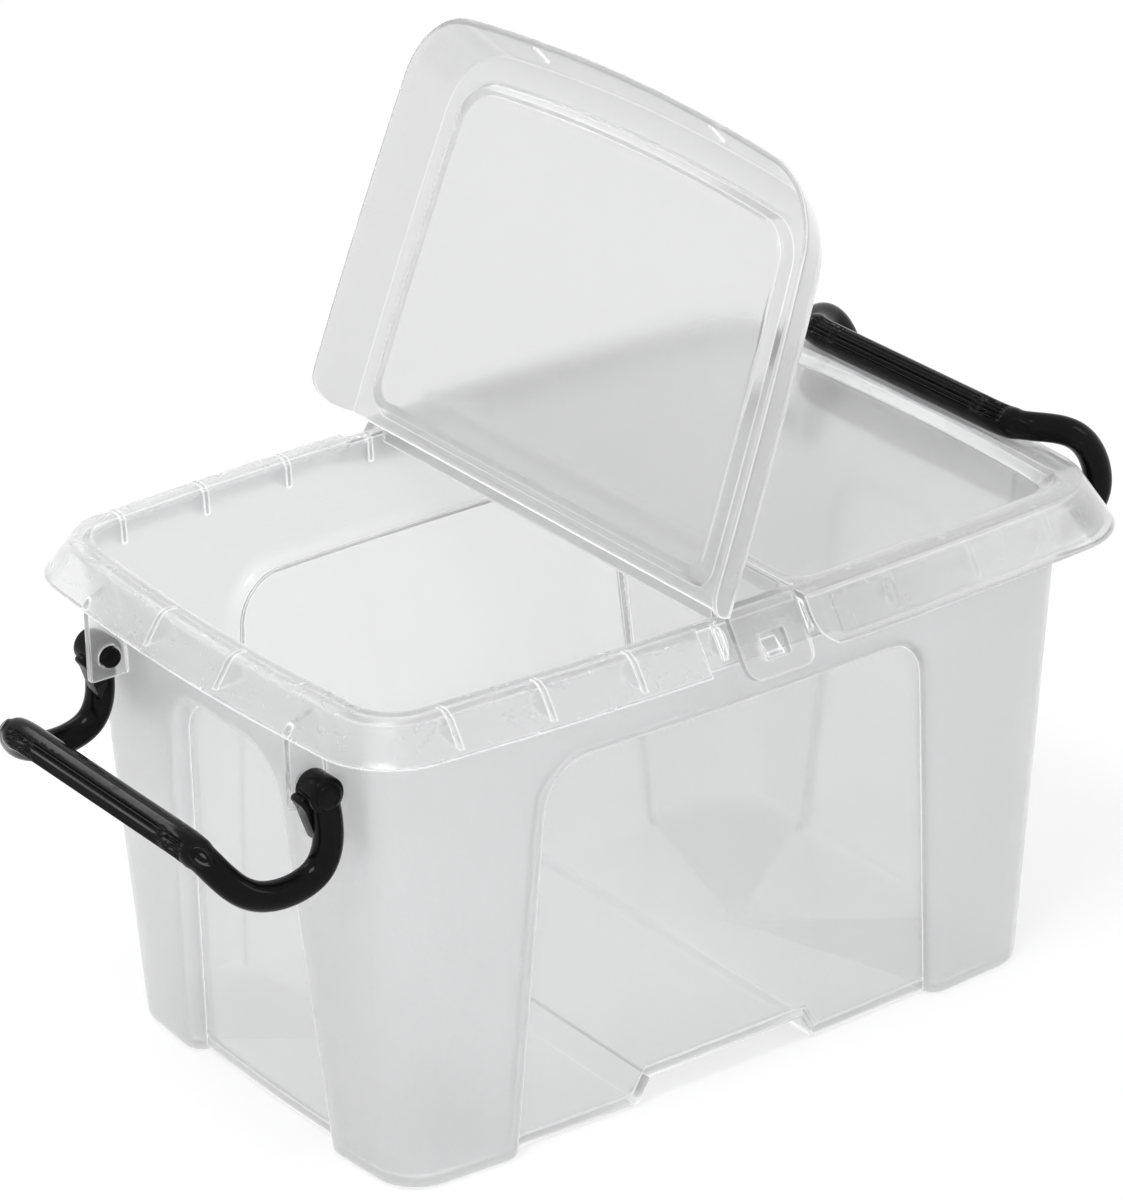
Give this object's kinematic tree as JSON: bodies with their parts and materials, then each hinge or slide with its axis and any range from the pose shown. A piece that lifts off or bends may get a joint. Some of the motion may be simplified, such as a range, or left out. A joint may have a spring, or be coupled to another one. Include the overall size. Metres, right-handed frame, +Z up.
{
  "type": "pencil case",
  "caption": "Small clear plastic pencil box: tapered tub with flared rim, split fold-up lid on living hinges, and swinging bail handles that latch over the lid.",
  "frame": {"origin": "under the middle of the whole box as it is kept, one handle out and one latched, on the plane it stands on", "axes": "+X along the length towards the latched handle, -Y towards the long side seen first, +Z up"},
  "size_m": [0.2254, 0.1396, 0.2005],
  "materials": {
    "clear_plastic": "translucent polypropylene, frosted with clear windows",
    "black_plastic": "glossy moulded black"
  },
  "bodies": {
    "box": {"tub": "clear_plastic", "lid_strap": "clear_plastic", "lid_half_right": "clear_plastic", "living_hinge_left": "clear_plastic", "living_hinge_right": "clear_plastic"},
    "lid_flap": {"lid_half_left": "clear_plastic"},
    "handle_left": {"handle_left": "black_plastic"},
    "handle_right": {"handle_right": "black_plastic"}
  },
  "joints": [
    {"name": "lid_half_left_hinge", "type": "hinge", "parent": "box", "child": "lid_flap", "pos_m": [-0.00397, 0, 0.11175], "axis": [0, 1, 0], "range_deg": [-111, 66]},
    {"name": "handle_left_pivot", "type": "hinge", "parent": "box", "child": "handle_left", "pos_m": [-0.08582, 0, 0.09], "axis": [0, 1, 0], "range_deg": [0, 115]},
    {"name": "handle_right_pivot", "type": "hinge", "parent": "box", "child": "handle_right", "pos_m": [0.09578, 0, 0.09], "axis": [0, 1, 0], "range_deg": [0, 115]}
  ]
}
